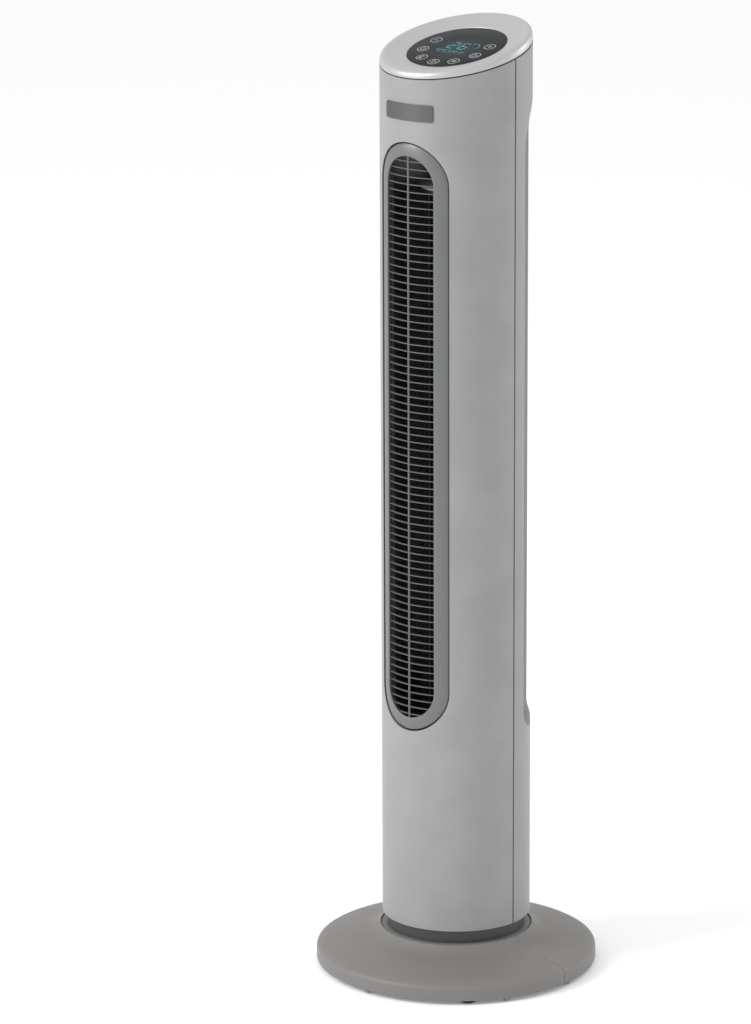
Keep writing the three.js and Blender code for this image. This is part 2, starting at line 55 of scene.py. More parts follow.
def make_piece(name, points, faces, sharp=32):
    """A closed body, shaded smooth except along edges sharper than an angle."""
    mesh = bpy.data.meshes.new(name)
    mesh.from_pydata([(x * MM, y * MM, z * MM) for x, y, z in points], [], faces)
    body = bmesh.new()
    body.from_mesh(mesh)
    bmesh.ops.remove_doubles(body, verts=body.verts, dist=1e-7)
    bmesh.ops.dissolve_degenerate(body, edges=body.edges, dist=1e-7)
    bmesh.ops.recalc_face_normals(body, faces=body.faces)
    body.to_mesh(mesh)
    body.free()
    mesh.shade_smooth()
    mesh.set_sharp_from_angle(angle=radians(sharp))
    piece = bpy.data.objects.new(name, mesh)
    bpy.context.scene.collection.objects.link(piece)
    return piece


def skin_faces(stations, count, spans):
    """The faces between neighbouring stations of a swept loop of points."""
    faces = []
    for i in range(spans):
        here, there = i * count, ((i + 1) % stations) * count
        for j in range(count):
            k = (j + 1) % count
            faces.append((here + j, here + k, there + k, there + j))
    return faces


def swept_round(section, first, last, steps):
    """Points and faces of a section carried round the upright axis. The section gives a closed
    loop of (radius, height) at an angle, which is 0 at the front and 90 on the +X side."""
    points = []
    whole = last - first >= 360
    stations = steps if whole else steps + 1
    for i in range(stations):
        angle = first + (last - first) * i / steps
        loop = section(angle)
        side, ahead = sin(radians(angle)), cos(radians(angle))
        points += [(r * side, -r * ahead, z) for r, z in loop]
    count = len(loop)
    faces = skin_faces(stations, count, steps)
    if not whole:
        faces.append(tuple(range(count)))
        faces.append(tuple(steps * count + j for j in range(count)))
    return points, faces


def turned(loop, steps, x=0.0, y=0.0):
    """A loop of (radius, height) turned all the way round an upright axis at a place in plan."""
    points, faces = swept_round(lambda angle: loop, 0, 360, steps)
    return [(px + x, py + y, pz) for px, py, pz in points], faces


def rounded_through(points, steps=4):
    """A smooth line (Catmull-Rom) through a few points."""
    ends = [points[0], *points, points[-1]]
    line = []
    for a, b, c, d in zip(ends, ends[1:], ends[2:], ends[3:]):
        for i in range(steps):
            t = i / steps
            line.append(tuple(
                0.5 * (2 * q + (r - p) * t + (2 * p - 5 * q + 4 * r - s) * t**2
                       + (3 * q - p - 3 * r + s) * t**3)
                for p, q, r, s in zip(a, b, c, d)))
    return [*line, points[-1]]


def eased_edges(piece, width, steps=2, angle=40):
    """A small moulded radius along the piece's sharp edges."""
    bevel = piece.modifiers.new("eased_edges", "BEVEL")
    bevel.width = width * MM
    bevel.segments = steps
    bevel.limit_method = "ANGLE"
    bevel.angle_limit = radians(angle)
    bevel.harden_normals = True
    bevel.use_clamp_overlap = True
    return piece


def settled(piece):
    """Works the piece's modifiers into its mesh."""
    graph = bpy.context.evaluated_depsgraph_get()
    mesh = bpy.data.meshes.new_from_object(piece.evaluated_get(graph))
    piece.modifiers.clear()
    piece.data = mesh
    return mesh


def truly_round(piece):
    """Shades upright walls round the axis as one smooth curve, whatever was cut out of them."""
    mesh = settled(piece)
    normals = [tuple(corner.vector) for corner in mesh.corner_normals]
    for polygon in mesh.polygons:
        if abs(polygon.normal.z) > 0.01:
            continue
        for corner in polygon.loop_indices:
            x, y, _ = mesh.vertices[mesh.loops[corner].vertex_index].co
            radius = hypot(x, y)
            facing = (polygon.normal.x * x + polygon.normal.y * y) / radius
            if abs(facing) > 0.9985:
                turn = 1 if facing > 0 else -1
                normals[corner] = (turn * x / radius, turn * y / radius, 0)
    mesh.normals_split_custom_set(normals)
    return piece


def cut_away(piece, *cutters, sharp=28):
    """Takes the cutters' shapes out of the piece, and clears the cutters away."""
    for cutter in cutters:
        cut = piece.modifiers.new("cut", "BOOLEAN")
        cut.operation = "DIFFERENCE"
        cut.solver = "EXACT"
        cut.object = cutter
    mesh = settled(piece)
    for cutter in cutters:
        bpy.data.objects.remove(cutter)
    mesh.shade_smooth()
    mesh.set_sharp_from_angle(angle=radians(sharp))
    return piece


def prism_faces(count):
    """The sides and ends of a prism: its near outline's points come first, then the far one's."""
    sides = [(j, (j + 1) % count, count + (j + 1) % count, count + j) for j in range(count)]
    return [*sides, tuple(range(count)), tuple(range(count, 2 * count))]


def pushed_outline(outline, near, far):
    """Points and faces of an outline in X and Z, pushed along Y."""
    points = [(x, near, z) for x, z in outline] + [(x, far, z) for x, z in outline]
    return points, prism_faces(len(outline))


def oval(half_width, half_height, middle, sides=32):
    """The outline of an ellipse in X and Z."""
    return [(half_width * cos(2 * pi * i / sides), middle + half_height * sin(2 * pi * i / sides))
            for i in range(sides)]


def box_mm(node):
    """A node's lowest and highest corner in millimetres."""
    low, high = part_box(node)
    return [v / MM for v in low], [v / MM for v in high]


def new_effect(name, inputs, outputs):
    """An empty shader node group with named sockets, and its two ends."""
    effect = bpy.data.node_groups.new(name, "ShaderNodeTree")
    for label, kind, value in inputs:
        socket = effect.interface.new_socket(label, in_out="INPUT", socket_type=kind)
        socket.default_value = value
    for label, kind in outputs:
        effect.interface.new_socket(label, in_out="OUTPUT", socket_type=kind)
    return effect, effect.nodes.new("NodeGroupInput"), effect.nodes.new("NodeGroupOutput")


def calculate(tree, operation, *values):
    """A Math node. Each value is a number or an output socket."""
    node = tree.nodes.new("ShaderNodeMath")
    node.operation = operation
    for socket, value in zip(node.inputs, values):
        if isinstance(value, (int, float)):
            socket.default_value = value
        else:
            tree.links.new(value, socket)
    return node.outputs[0]


def shaded(tree, colour, shade):
    """A colour made lighter or darker by a factor that changes over the surface."""
    tint = tree.nodes.new("ShaderNodeVectorMath")
    tint.operation = "SCALE"
    tree.links.new(colour, tint.inputs[0])
    tree.links.new(shade, tint.inputs["Scale"])
    return tint.outputs[0]


grey = (0.5, 0.5, 0.5, 1)
surface_outputs = [("Colour", "NodeSocketColor"), ("Roughness", "NodeSocketFloat"),
                   ("Height", "NodeSocketFloat")]


def make_moulded_grain():
    """Spark-eroded tool grain: a fine height, and slow drifts of shade and gloss."""
    effect, start, end = new_effect(
        "moulded_grain",
        [("Colour", "NodeSocketColor", grey), ("Roughness", "NodeSocketFloat", 0.5),
         ("Grain per metre", "NodeSocketFloat", 1500.0), ("Shade drift", "NodeSocketFloat", 0.05)],
        surface_outputs)
    join = effect.links.new
    place = effect.nodes.new("ShaderNodeTexCoord").outputs["Object"]
    fine = effect.nodes.new("ShaderNodeTexNoise")
    fine.inputs["Detail"].default_value = 3
    join(place, fine.inputs["Vector"])
    join(start.outputs["Grain per metre"], fine.inputs["Scale"])
    broad = effect.nodes.new("ShaderNodeTexNoise")
    broad.inputs["Scale"].default_value = 22
    broad.inputs["Detail"].default_value = 3
    join(place, broad.inputs["Vector"])
    drift = calculate(effect, "SUBTRACT", broad.outputs["Fac"], 0.5)
    speck = calculate(effect, "SUBTRACT", fine.outputs["Fac"], 0.5)
    both = calculate(effect, "MULTIPLY_ADD", speck, 0.5, drift)
    shade = calculate(effect, "MULTIPLY_ADD", both, start.outputs["Shade drift"], 1)
    join(shaded(effect, start.outputs["Colour"], shade), end.inputs["Colour"])
    gloss = calculate(effect, "MULTIPLY_ADD", drift, 0.16, start.outputs["Roughness"])
    join(calculate(effect, "MULTIPLY_ADD", speck, 0.12, gloss), end.inputs["Roughness"])
    join(fine.outputs["Fac"], end.inputs["Height"])
    return effect


def make_edge_highlight_and_crease_shade():
    """Painted highlight on outer edges, and painted shade in inner corners and creases."""
    effect, start, end = new_effect(
        "edge_highlight_and_crease_shade",
        [("Colour", "NodeSocketColor", grey), ("Amount", "NodeSocketFloat", 0.3)],
        [("Colour", "NodeSocketColor")])
    join = effect.links.new
    bend = effect.nodes.new("ShaderNodeNewGeometry").outputs["Pointiness"]
    lifted = calculate(effect, "SUBTRACT", bend, 0.5)
    kept = effect.nodes.new("ShaderNodeClamp")
    kept.inputs["Min"].default_value = -0.12
    kept.inputs["Max"].default_value = 0.12
    join(lifted, kept.inputs["Value"])
    strength = calculate(effect, "MULTIPLY", kept.outputs[0], start.outputs["Amount"])
    shade = calculate(effect, "MULTIPLY_ADD", strength, 8, 1)
    join(shaded(effect, start.outputs["Colour"], shade), end.inputs["Colour"])
    return effect


moulded_grain = make_moulded_grain()
edge_highlight_and_crease_shade = make_edge_highlight_and_crease_shade()


def place_effect(material, effect, **values):
    """Adds an effect to a material. A value's name has _ where the socket's has a space."""
    node = material.node_tree.nodes.new("ShaderNodeGroup")
    node.node_tree = effect
    for label, value in values.items():
        node.inputs[label.replace("_", " ")].default_value = value
    return node


def new_material(name):
    """An empty material with its node tree and its shader."""
    material = bpy.data.materials.new(name)
    material.use_nodes = True
    return material, material.node_tree, material.node_tree.nodes["Principled BSDF"]


def emboss(tree, height, strength, depth):
    """Turns an effect's height into a bump of so many millimetres."""
    bump = tree.nodes.new("ShaderNodeBump")
    bump.inputs["Strength"].default_value = strength
    bump.inputs["Distance"].default_value = depth * MM
    tree.links.new(height, bump.inputs["Height"])
    tree.links.new(bump.outputs["Normal"], tree.nodes["Principled BSDF"].inputs["Normal"])


def moulded_plastic(name, colour, roughness, grain=1500, depth=0.02, drift=0.05, edge_light_and_shade=0.3, gloss=0.5):
    """Injection-moulded plastic: tool grain with its drift of shade, a painted highlight on its edges
    and painted shade in its corners.
    """
    material, tree, shader = new_material(name)
    shader.inputs["Specular IOR Level"].default_value = gloss
    grained = place_effect(material, moulded_grain, Colour=(*colour, 1), Roughness=roughness,
                           Grain_per_metre=grain, Shade_drift=drift)
    # The edges get a painted highlight and the corners painted shade, from how sharply the surface
    # bends.
    edge_shaded = place_effect(material, edge_highlight_and_crease_shade, Amount=edge_light_and_shade)
    tree.links.new(grained.outputs["Colour"], edge_shaded.inputs["Colour"])
    tree.links.new(edge_shaded.outputs["Colour"], shader.inputs["Base Color"])
    tree.links.new(grained.outputs["Roughness"], shader.inputs["Roughness"])
    emboss(tree, grained.outputs["Height"], 0.5, depth)
    return material


def give(piece, material, body, slot, *stands_for):
    """Dresses a new piece, sets it on its body and hides the CAD nodes it stands for."""
    piece.data.materials.append(material)
    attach(piece, body)
    if stands_for:
        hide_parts(*stands_for)
    return piece


base_low, base_high = box_mm("base_front_half")
base_radius = base_high[0]
base_foot = base_low[2]
rim_low = base_foot + 1.2
well_radius = 80.2
base_top = rounded_through([
    (base_radius - 0.9, rim_low), (base_radius - 0.15, rim_low + 0.7),
    (base_radius - 0.1, base_foot + 6), (base_radius - 0.1, base_foot + 12.6),
    (base_radius - 0.8, base_foot + 15.2), (base_radius - 2.6, base_foot + 17), (141, 22.6),
    (121, 27.4), (100, 32.5), (92, 35.3), (86.4, 38.6), (82.8, 41.6), (81.6, 42.3),
    (well_radius + 0.5, 42.2), (well_radius, 41.5)])
base_inside = [
    (well_radius, 29), (23, 29), (23, 26), (well_radius + 3, 26), (well_radius + 3, 36),
    (98.5, 29.4), (138, 20), (base_radius - 3, 15), (base_radius - 3, rim_low)]
base_grey = moulded_plastic("base_grey", (0.172, 0.167, 0.161), 0.5, grain=1400, depth=0.025,
                            drift=0.06)


inlet_low, inlet_high = box_mm("cord_inlet")
inlet_middle = (inlet_low[2] + inlet_high[2]) / 2


def base_half(name, middle, node, *cutters):
    half_gap = degrees(0.28 / base_radius)
    points, faces = swept_round(lambda angle: base_top + base_inside, middle - 90 + half_gap,
                                middle + 90 - half_gap, 96)
    half = make_piece(name, points, faces, sharp=28)
    if cutters:
        cut_away(half, *cutters)
    eased_edges(half, 0.45, angle=50)
    return give(half, base_grey, "base", "base_plastic", node)


base_half("base_front_moulding", 0, "base_front_half")
base_half("base_rear_moulding", 180, "base_rear_half",
          make_piece("inlet_cut", *pushed_outline(oval(7.3, 3.9, inlet_middle), 140, 156)))


# ---- Cord inlet ----
# A black rubber bush pressed into the back of the rim, where the supply cord goes in.
# Its bore stays open.

black_rubber = moulded_plastic("black_rubber", (0.012, 0.012, 0.012), 0.75, grain=2500, depth=0.03)

bush = make_piece("cord_inlet_bush", *pushed_outline(
    oval(7, 3.6, inlet_middle), inlet_low[1], inlet_high[1]))
cut_away(bush, make_piece("bush_bore", *pushed_outline(oval(3.25, 3.25, inlet_middle), 120, 160)))
eased_edges(bush, 0.5)
give(bush, black_rubber, "base", "rubber", "cord_inlet")


# ---- Underside: weight plate, screws and feet ----
# A zinc-plated steel disc keeps the fan upright. Seven pan-head screws go up through it, near its
# edge, into the mouldings, and four black rubber feet are stuck under it.

def make_brushed():
    """Rolled or turned metal: fine streaks across the height, and a soft cloud of tarnish."""
    effect, start, end = new_effect(
        "brushed",
        [("Colour", "NodeSocketColor", grey), ("Roughness", "NodeSocketFloat", 0.35),
         ("Streaks per metre", "NodeSocketFloat", 900.0)],
        surface_outputs)
    join = effect.links.new
    place = effect.nodes.new("ShaderNodeTexCoord").outputs["Object"]
    stretch = effect.nodes.new("ShaderNodeMapping")
    stretch.inputs["Scale"].default_value = (0.06, 1, 1)
    join(place, stretch.inputs["Vector"])
    streaks = effect.nodes.new("ShaderNodeTexNoise")
    streaks.inputs["Detail"].default_value = 2
    join(stretch.outputs[0], streaks.inputs["Vector"])
    join(start.outputs["Streaks per metre"], streaks.inputs["Scale"])
    cloud = effect.nodes.new("ShaderNodeTexNoise")
    cloud.inputs["Scale"].default_value = 30
    join(place, cloud.inputs["Vector"])
    dull = calculate(effect, "SUBTRACT", cloud.outputs["Fac"], 0.5)
    shade = calculate(effect, "MULTIPLY_ADD", dull, 0.25, 1)
    join(shaded(effect, start.outputs["Colour"], shade), end.inputs["Colour"])
    rubbed = calculate(effect, "MULTIPLY_ADD", streaks.outputs["Fac"], 0.12, start.outputs["Roughness"])
    join(rubbed, end.inputs["Roughness"])
    join(streaks.outputs["Fac"], end.inputs["Height"])
    return effect


brushed = make_brushed()


def bare_metal(name, colour, roughness, streaks=900, depth=0.01, metallic=1.0):
    """Plated, turned or rolled metal with its streaks."""
    material, tree, shader = new_material(name)
    shader.inputs["Metallic"].default_value = metallic
    streaked = place_effect(material, brushed, Colour=(*colour, 1), Roughness=roughness,
                            Streaks_per_metre=streaks)
    tree.links.new(streaked.outputs["Colour"], shader.inputs["Base Color"])
    tree.links.new(streaked.outputs["Roughness"], shader.inputs["Roughness"])
    emboss(tree, streaked.outputs["Height"], 0.4, depth)
    return material


def finish_nodes(material, *nodes, eased=0.3):
    """Gives CAD nodes whose shape is right their finish, and eases their edges."""
    for node in nodes:
        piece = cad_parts[node]
        for slot in piece.material_slots:
            slot.material = material
        if eased:
            eased_edges(piece, eased, steps=2, angle=45)


def middle_in_plan(low, high):
    """The middle of a box, seen from above."""
    return (low[0] + high[0]) / 2, (low[1] + high[1]) / 2


base_screw_numbers = range(1, 8)
zinc_steel = bare_metal("zinc_steel", (0.55, 0.56, 0.57), 0.36)
finish_nodes(zinc_steel, "base_weight_plate")
for number in base_screw_numbers:
    node = f"base_screw_{number}"
    low, high = box_mm(node)
    head = [(0, low[2] + 0.9), (1, low[2] + 0.9), (1.3, low[2] + 0.1), (2.6, low[2]),
            (4, low[2] + 0.45), (4.25, low[2] + 1.2), (4.25, 3.2), (1.9, 3.2), (1.8, high[2] - 1),
            (0, high[2])]
    screw = make_piece(f"base_fixing_{number}", *turned(head, 32, *middle_in_plan(low, high)))
    give(screw, zinc_steel, "base", "steel", node)

for number in range(1, 5):
    node = f"foot_{number}"
    low, high = box_mm(node)
    side = (high[0] - low[0]) / 2 - 0.02
    pad = [(0, 0), (side - 1.6, 0), (side - 0.7, 0.25), (side - 0.15, 0.8), (side, 1.6),
           (side, high[2]), (0, high[2])]
    foot = make_piece(f"foot_pad_{number}", *turned(pad, 48, *middle_in_plan(low, high)))
    give(foot, black_rubber, "base", "rubber", node)


# ---- Glide bumps ----
# Small round bumps moulded under the rim beside the screws. They keep the rim off the floor when
# the fan is tipped.

bump_ring = 145.4
bump_loop = [(0, 0.8), (2, 0.9), (2.8, 1.4), (3, 2.2), (3, 5.6), (0, 5.6)]
for number in base_screw_numbers:
    x, y = middle_in_plan(*box_mm(f"base_screw_{number}"))
    outward = bump_ring / hypot(x, y)
    bump = make_piece(f"glide_bump_{number}", *turned(bump_loop, 32, x * outward, y * outward))
    give(bump, base_grey, "base", "base_plastic")


# ---- Swivel ----
# An acetal hub stands in the base with a gear ring round it. The turntable plate rests on a glide
# ring and is held down by a steel ring, and the swing motor's pinion rolls round the gear.

natural_acetal = moulded_plastic("natural_acetal", (0.72, 0.69, 0.6), 0.38, grain=900, drift=0.08)
black_moulded = moulded_plastic("black_moulded", (0.02, 0.02, 0.021), 0.5, grain=1200)
finish_nodes(natural_acetal, "swivel_hub", "glide_ring")
finish_nodes(natural_acetal, "gear_ring", "drive_pinion", eased=0.15)
finish_nodes(black_moulded, "hub_lock_nut")
finish_nodes(zinc_steel, "hub_retainer", "turntable_plate", "swing_motor")


# ---- Swivel collar ----
# A skirt in the grey of the base closes the well and turns in it with the tower. A narrower neck
# in dark satin plastic stands on the skirt and carries the shells.

collar_low, collar_high = box_mm("swivel_collar")
skirt_radius = collar_high[0]
neck_radius, neck_inside = 73.6, 71.2
ledge = 41.9
skirt_loop = rounded_through([
    (skirt_radius - 0.5, collar_low[2]), (skirt_radius, collar_low[2] + 0.7),
    (skirt_radius, ledge - 2), (skirt_radius - 0.05, ledge - 0.7), (skirt_radius - 0.5, ledge - 0.15),
    (skirt_radius - 1.4, ledge), (neck_radius + 0.2, ledge)]) + [
    (neck_radius + 0.2, collar_low[2] + 2), (neck_inside, collar_low[2] + 2),
    (neck_inside, collar_low[2])]
skirt = make_piece("collar_skirt", *turned(skirt_loop, 192))
give(skirt, base_grey, "tower", "base_plastic", "swivel_collar")

neck_low = 34
lip_low, lip_radius = 59, 76.1  # the neck's top widens inside the shells
neck_loop = [
    (neck_inside, neck_low), (neck_radius - 0.1, neck_low), (neck_radius - 0.1, ledge + 0.4),
    (neck_radius, ledge + 0.9), (neck_radius, lip_low), (lip_radius, lip_low),
    (lip_radius, collar_high[2]), (neck_inside, collar_high[2])]
collar_satin = moulded_plastic("collar_satin", (0.068, 0.067, 0.067), 0.34, grain=2200, depth=0.008)
neck = make_piece("collar_neck", *turned(neck_loop, 192))
give(neck, collar_satin, "tower", "collar_plastic")


# ---- Fan motor and mains board ----
# The motor hangs in a black cup under the lower end wall, and the mains board stands below it.

board_green = moulded_plastic("board_green", (0.015, 0.11, 0.045), 0.35, grain=600, drift=0.2)
motor_steel = bare_metal("motor_steel", (0.42, 0.43, 0.44), 0.42, streaks=500)
finish_nodes(black_moulded, "motor_cup")
finish_nodes(motor_steel, "fan_motor", "motor_shaft", "bearing_pin", "bearing_bush")
finish_nodes(board_green, "mains_board", "touch_board", eased=0)
finish_nodes(black_rubber, "control_cable", "drive_coupling")


# ---- Impeller ----
# A long cross-flow drum of curved blades between discs, moulded in black glass-filled plastic
# and welded in two lengths. A tapered grey cap closes its upper end and carries the bearing.

impeller_black = moulded_plastic("impeller_black", (0.022, 0.022, 0.024), 0.42, grain=1800)
drum_low, drum_high = box_mm("impeller_drum")
drum_radius = (drum_high[0] - drum_low[0]) / 2
drum_axis = (drum_low[1] + drum_high[1]) / 2
blade_count = 36
drum_cap_height = 41


def joined_points(parts):
    """One mesh out of several closed bodies that pass into each other."""
    points, faces = [], []
    for new_points, new_faces in parts:
        start = len(points)
        points += new_points
        faces += [tuple(start + k for k in face) for face in new_faces]
    return points, faces


def blade_outline(turn):
    """The plan of one forward-curved blade: out along one side and back along the other."""
    blade_root, blade_depth, blade_half_thickness = 34.4, 10, 0.5
    line = [(blade_root + blade_depth * t, 0.16 * (1 - t) ** 2 - 0.05 * sin(pi * t)) for t in
            (0, 0.2, 0.4, 0.6, 0.8, 1)]
    outline = []
    for side, run in ((blade_half_thickness, line), (-blade_half_thickness, line[::-1])):
        outline += [(r * cos(turn + a) - side * sin(turn + a),
                     r * sin(turn + a) + side * cos(turn + a)) for r, a in run]
    return outline


def impeller_drum():
    low, high = drum_low[2], drum_high[2] - drum_cap_height
    r = drum_radius - 0.02
    parts = []
    for middle, inner in ((low + 1.5, 0), (high - 1.5, 0), ((low + high) / 2, 33.5)):
        disc = [(inner, middle - 1.4), (r - 0.5, middle - 1.4), (r, middle - 0.9), (r, middle + 0.9),
                (r - 0.5, middle + 1.4), (inner, middle + 1.4)]
        parts.append(turned(disc, 96, 0, drum_axis))
    for i in range(blade_count):
        outline = blade_outline(2 * pi * i / blade_count)
        blade = [(x, y + drum_axis, z) for z in (low + 1.5, high - 1.5) for x, y in outline]
        parts.append((blade, prism_faces(len(outline))))
    return make_piece("cross_flow_drum", *joined_points(parts))


give(impeller_drum(), impeller_black, "impeller", "impeller_plastic", "impeller_drum")

cap_foot = drum_high[2] - drum_cap_height
drum_cap_loop = [(0, cap_foot), (drum_radius - 0.3, cap_foot), (drum_radius - 0.1, cap_foot + 0.3),
                 (drum_radius - 0.1, cap_foot + 2), (drum_radius - 2, cap_foot + 3), (24, cap_foot + 9),
                 (13, cap_foot + 15), (9, cap_foot + 24), (9, drum_high[2] - 0.5),
                 (8.5, drum_high[2]), (0, drum_high[2])]
cap_plastic = moulded_plastic("drum_cap_plastic", (0.3, 0.3, 0.285), 0.5, grain=1200)
give(make_piece("drum_cap", *turned(drum_cap_loop, 96, 0, drum_axis)), cap_plastic,
     "impeller", "impeller_plastic")


# ---- Duct ----
# Two end walls, a scroll and a tongue in black plastic lead the air from the drum to the outlet.

duct_black = moulded_plastic("duct_black", (0.03, 0.031, 0.032), 0.45, grain=1000)
finish_nodes(duct_black, "lower_end_wall", "upper_end_wall")
finish_nodes(duct_black, "duct_scroll", "duct_tongue", eased=0)


# ---- Shells ----
# Two half-round mouldings in light grey with a fine satin grain. They meet at the sides in a
# narrow shadow line, and their slanted top edge carries the cap.

slant = tan(radians(13.3))
seam_height = 984.3  # where the slanted seam crosses the axis
shell_low, shell_high = box_mm("front_shell")
tower_radius = 79.0
shell_inside = tower_radius - 2.6
shell_gap = degrees(1.0 / tower_radius)
cap_gap = 0.8  # the shadow line under the cap
shell_satin = moulded_plastic("shell_satin", (0.275, 0.275, 0.274), 0.46, grain=1700, depth=0.02,
                              drift=0.28, edge_light_and_shade=0)


def shell_section(angle):
    ahead = cos(radians(angle))
    top_out = seam_height - slant * tower_radius * ahead - cap_gap
    top_in = seam_height - slant * shell_inside * ahead - cap_gap
    return [(shell_inside, shell_low[2]), (tower_radius, shell_low[2]), (tower_radius, top_out),
            (shell_inside, top_in)]


def half_shell(name, middle):
    return make_piece(name, *swept_round(shell_section, middle - 90 + shell_gap,
                                         middle + 90 - shell_gap, 128))


def rounded_ends(half_width, low, high, grow=0.0, steps=24):
    """The outline of the outlet: straight sides with half-round ends, from the lower right."""
    r = half_width + grow
    line = []
    for middle, first in ((high - half_width, 0), (low + half_width, 180)):
        for i in range(steps + 1):
            a = radians(first + 180 * i / steps)
            line.append((r * cos(a), middle + r * sin(a)))
    return line


bezel_low, bezel_high = box_mm("front_bezel")
outlet = (44.0, bezel_low[2], bezel_high[2])
front_shell = half_shell("front_shell_moulding", 0)
cut_away(front_shell, make_piece("outlet_cut", *pushed_outline(
    rounded_ends(*outlet, grow=1.0, steps=48), -95, -20)))
truly_round(eased_edges(front_shell, 0.4))
give(front_shell, shell_satin, "tower", "shell_plastic", "front_shell")

# The lip behind the side seams, which keeps the two mouldings in line. It is given the collar's dark
# satin instead of the shells' grey, as painted shade deep in the seam.
for side in (-90, 90):
    loop = [(74.6, 67), (76.1, 67), (76.1, 961), (74.6, 961)]
    lip = make_piece(f"seam_lip_{'left' if side < 0 else 'right'}",
                     *swept_round(lambda angle: loop, side - 2.6, side + 2.6, 8))
    give(lip, collar_satin, "tower", "shell_plastic")

intake_edge = 76  # degrees to each side of the back
intake_low, intake_high = 266.7, 942.0
low_corner, high_corner = 21, 58  # radii of the window's corners


def recess_span(angle, inset=0.0):
    """The window's lowest and highest point at an angle, with its round corners."""
    to_side = tower_radius * radians(intake_edge - abs(angle - 180)) - inset

    def drop(radius):
        past = max(0.0, radius - to_side)
        return radius - sqrt(max(0.0, radius**2 - past**2))

    return intake_low + inset + drop(low_corner), intake_high - inset - drop(high_corner)


def recess_cut(angle):
    low, high = recess_span(angle)
    return [(60, low), (tower_radius + 1, low), (tower_radius + 1, high), (60, high)]


screw_angles_heights = [(135, 240), (225, 240), (135, 958), (225, 958)]


def along_spoke(points, angle, height):
    """Carries points drawn about Z out along a spoke of the tower."""
    side, ahead = sin(radians(angle)), -cos(radians(angle))
    return [(z * side + x * ahead, z * ahead - x * side, height + y) for x, y, z in points]


rear_cuts = [make_piece("recess_cut", *swept_round(
    recess_cut, 180 - intake_edge, 180 + intake_edge, 152))]
for angle, height in screw_angles_heights:
    points, faces = turned([(0, 60), (4.5, 60), (4.5, 90), (0, 90)], 32)
    rear_cuts.append(make_piece("screw_well", along_spoke(points, angle, height), faces))
rear_shell = cut_away(half_shell("rear_shell_moulding", 180), *rear_cuts)
truly_round(eased_edges(rear_shell, 0.4))
give(rear_shell, shell_satin, "tower", "shell_plastic", "rear_shell")

for number, (angle, height) in enumerate(screw_angles_heights, 1):
    points, faces = turned([(4.45, 70.3), (4.45, 76.9), (5.5, 76.9), (5.5, 70.3)], 32)
    boss = make_piece(f"screw_boss_{number}", along_spoke(points, angle, height), faces)
    give(boss, shell_satin, "tower", "shell_plastic")
    head = [(0, 77.4), (1.2, 77.4), (1.5, 78.1), (2.8, 78.2), (3.7, 77.8), (4.1, 77), (4.1, 76.5),
            (1.9, 76.4), (1.8, 61.5), (0, 60.6)]
    points, faces = turned(head, 32)
    screw = make_piece(f"shell_fixing_{number}", along_spoke(points, angle, height), faces)
    give(screw, zinc_steel, "tower", "steel", f"shell_screw_{number}")


# ---- Intake panel and hand grip ----
# A curved panel in darker grey fills the window of the rear shell. Its ends rise flush with the
# shell, and between them it lies deeper and is moulded as a fine grille of level slats. Above the
# slats it has a cup to lift the fan by.

slat_pitch = 7.95
slat_low, slat_high = 296.0, 900.0
slat_reach = 47  # degrees to each side of the back
grip = (38.0, 13.0, 925.0)  # half width, half height and middle height of the hole
intake_grey = moulded_plastic("intake_grey", (0.12, 0.122, 0.123), 0.5, grain=1500)


def scoop_radius(height):
    """The panel's outside: flush at its ends, and deeper between them, in two easy slopes."""
    flush, scoop = 78.7, 3.9
    bottom, bottom_slope, top, top_slope = 272, 18, 940, 36
    up = min(1.0, max(0.0, (height - bottom) / bottom_slope))
    down = min(1.0, max(0.0, (top - height) / top_slope))
    share = min(up, down)
    return flush - scoop * share * share * (3 - 2 * share)


def panel_section(angle):
    """The panel's wall from bottom to top, with its points closer together near the ends."""
    low, high = recess_span(angle, inset=0.35)
    thickness, steps = 1.8, 72
    outside = []
    for i in range(steps + 1):
        t = i / steps
        height = low + (high - low) * (0.5 - 0.5 * cos(pi * t))
        outside.append((scoop_radius(height), height))
    inside = [(r - thickness, z) for r, z in outside[::-1]]
    return outside + inside


panel_edge_angle = intake_edge - degrees(0.36 / tower_radius)
intake_wall = make_piece("intake_panel", *swept_round(
    panel_section, 180 - panel_edge_angle, 180 + panel_edge_angle, 110), sharp=50)
cut_away(intake_wall,
         make_piece("slat_window", *swept_round(
             lambda a: [(70, slat_low), (80, slat_low), (80, slat_high), (70, slat_high)],
             180 - slat_reach, 180 + slat_reach, 60)),
         make_piece("grip_hole", *pushed_outline(oval(*grip, sides=64), 40, 99)), sharp=50)
truly_round(eased_edges(intake_wall, 0.3, angle=55))
give(intake_wall, intake_grey, "tower", "grille_plastic", "intake_grille")

slats = []
slat_height = slat_low + slat_pitch / 2
while slat_height < slat_high:
    loop = [(72.8, slat_height - 0.9), (74.2, slat_height - 1.1), (74.7, slat_height - 0.7),
            (74.7, slat_height + 0.7), (74.2, slat_height + 1.1), (72.8, slat_height + 0.9)]
    slats.append(swept_round(lambda a, loop=loop: loop, 179.5 - slat_reach, 180.5 + slat_reach, 72))
    slat_height += slat_pitch
for upright in range(-36, 37, 12):
    loop = [(72.7, slat_low - 1), (74, slat_low - 1), (74, slat_high + 1), (72.7, slat_high + 1)]
    slats.append(swept_round(lambda a, loop=loop: loop, 179.2 + upright, 180.8 + upright, 3))
give(make_piece("intake_slats", *joined_points(slats)), intake_grey, "tower", "grille_plastic")


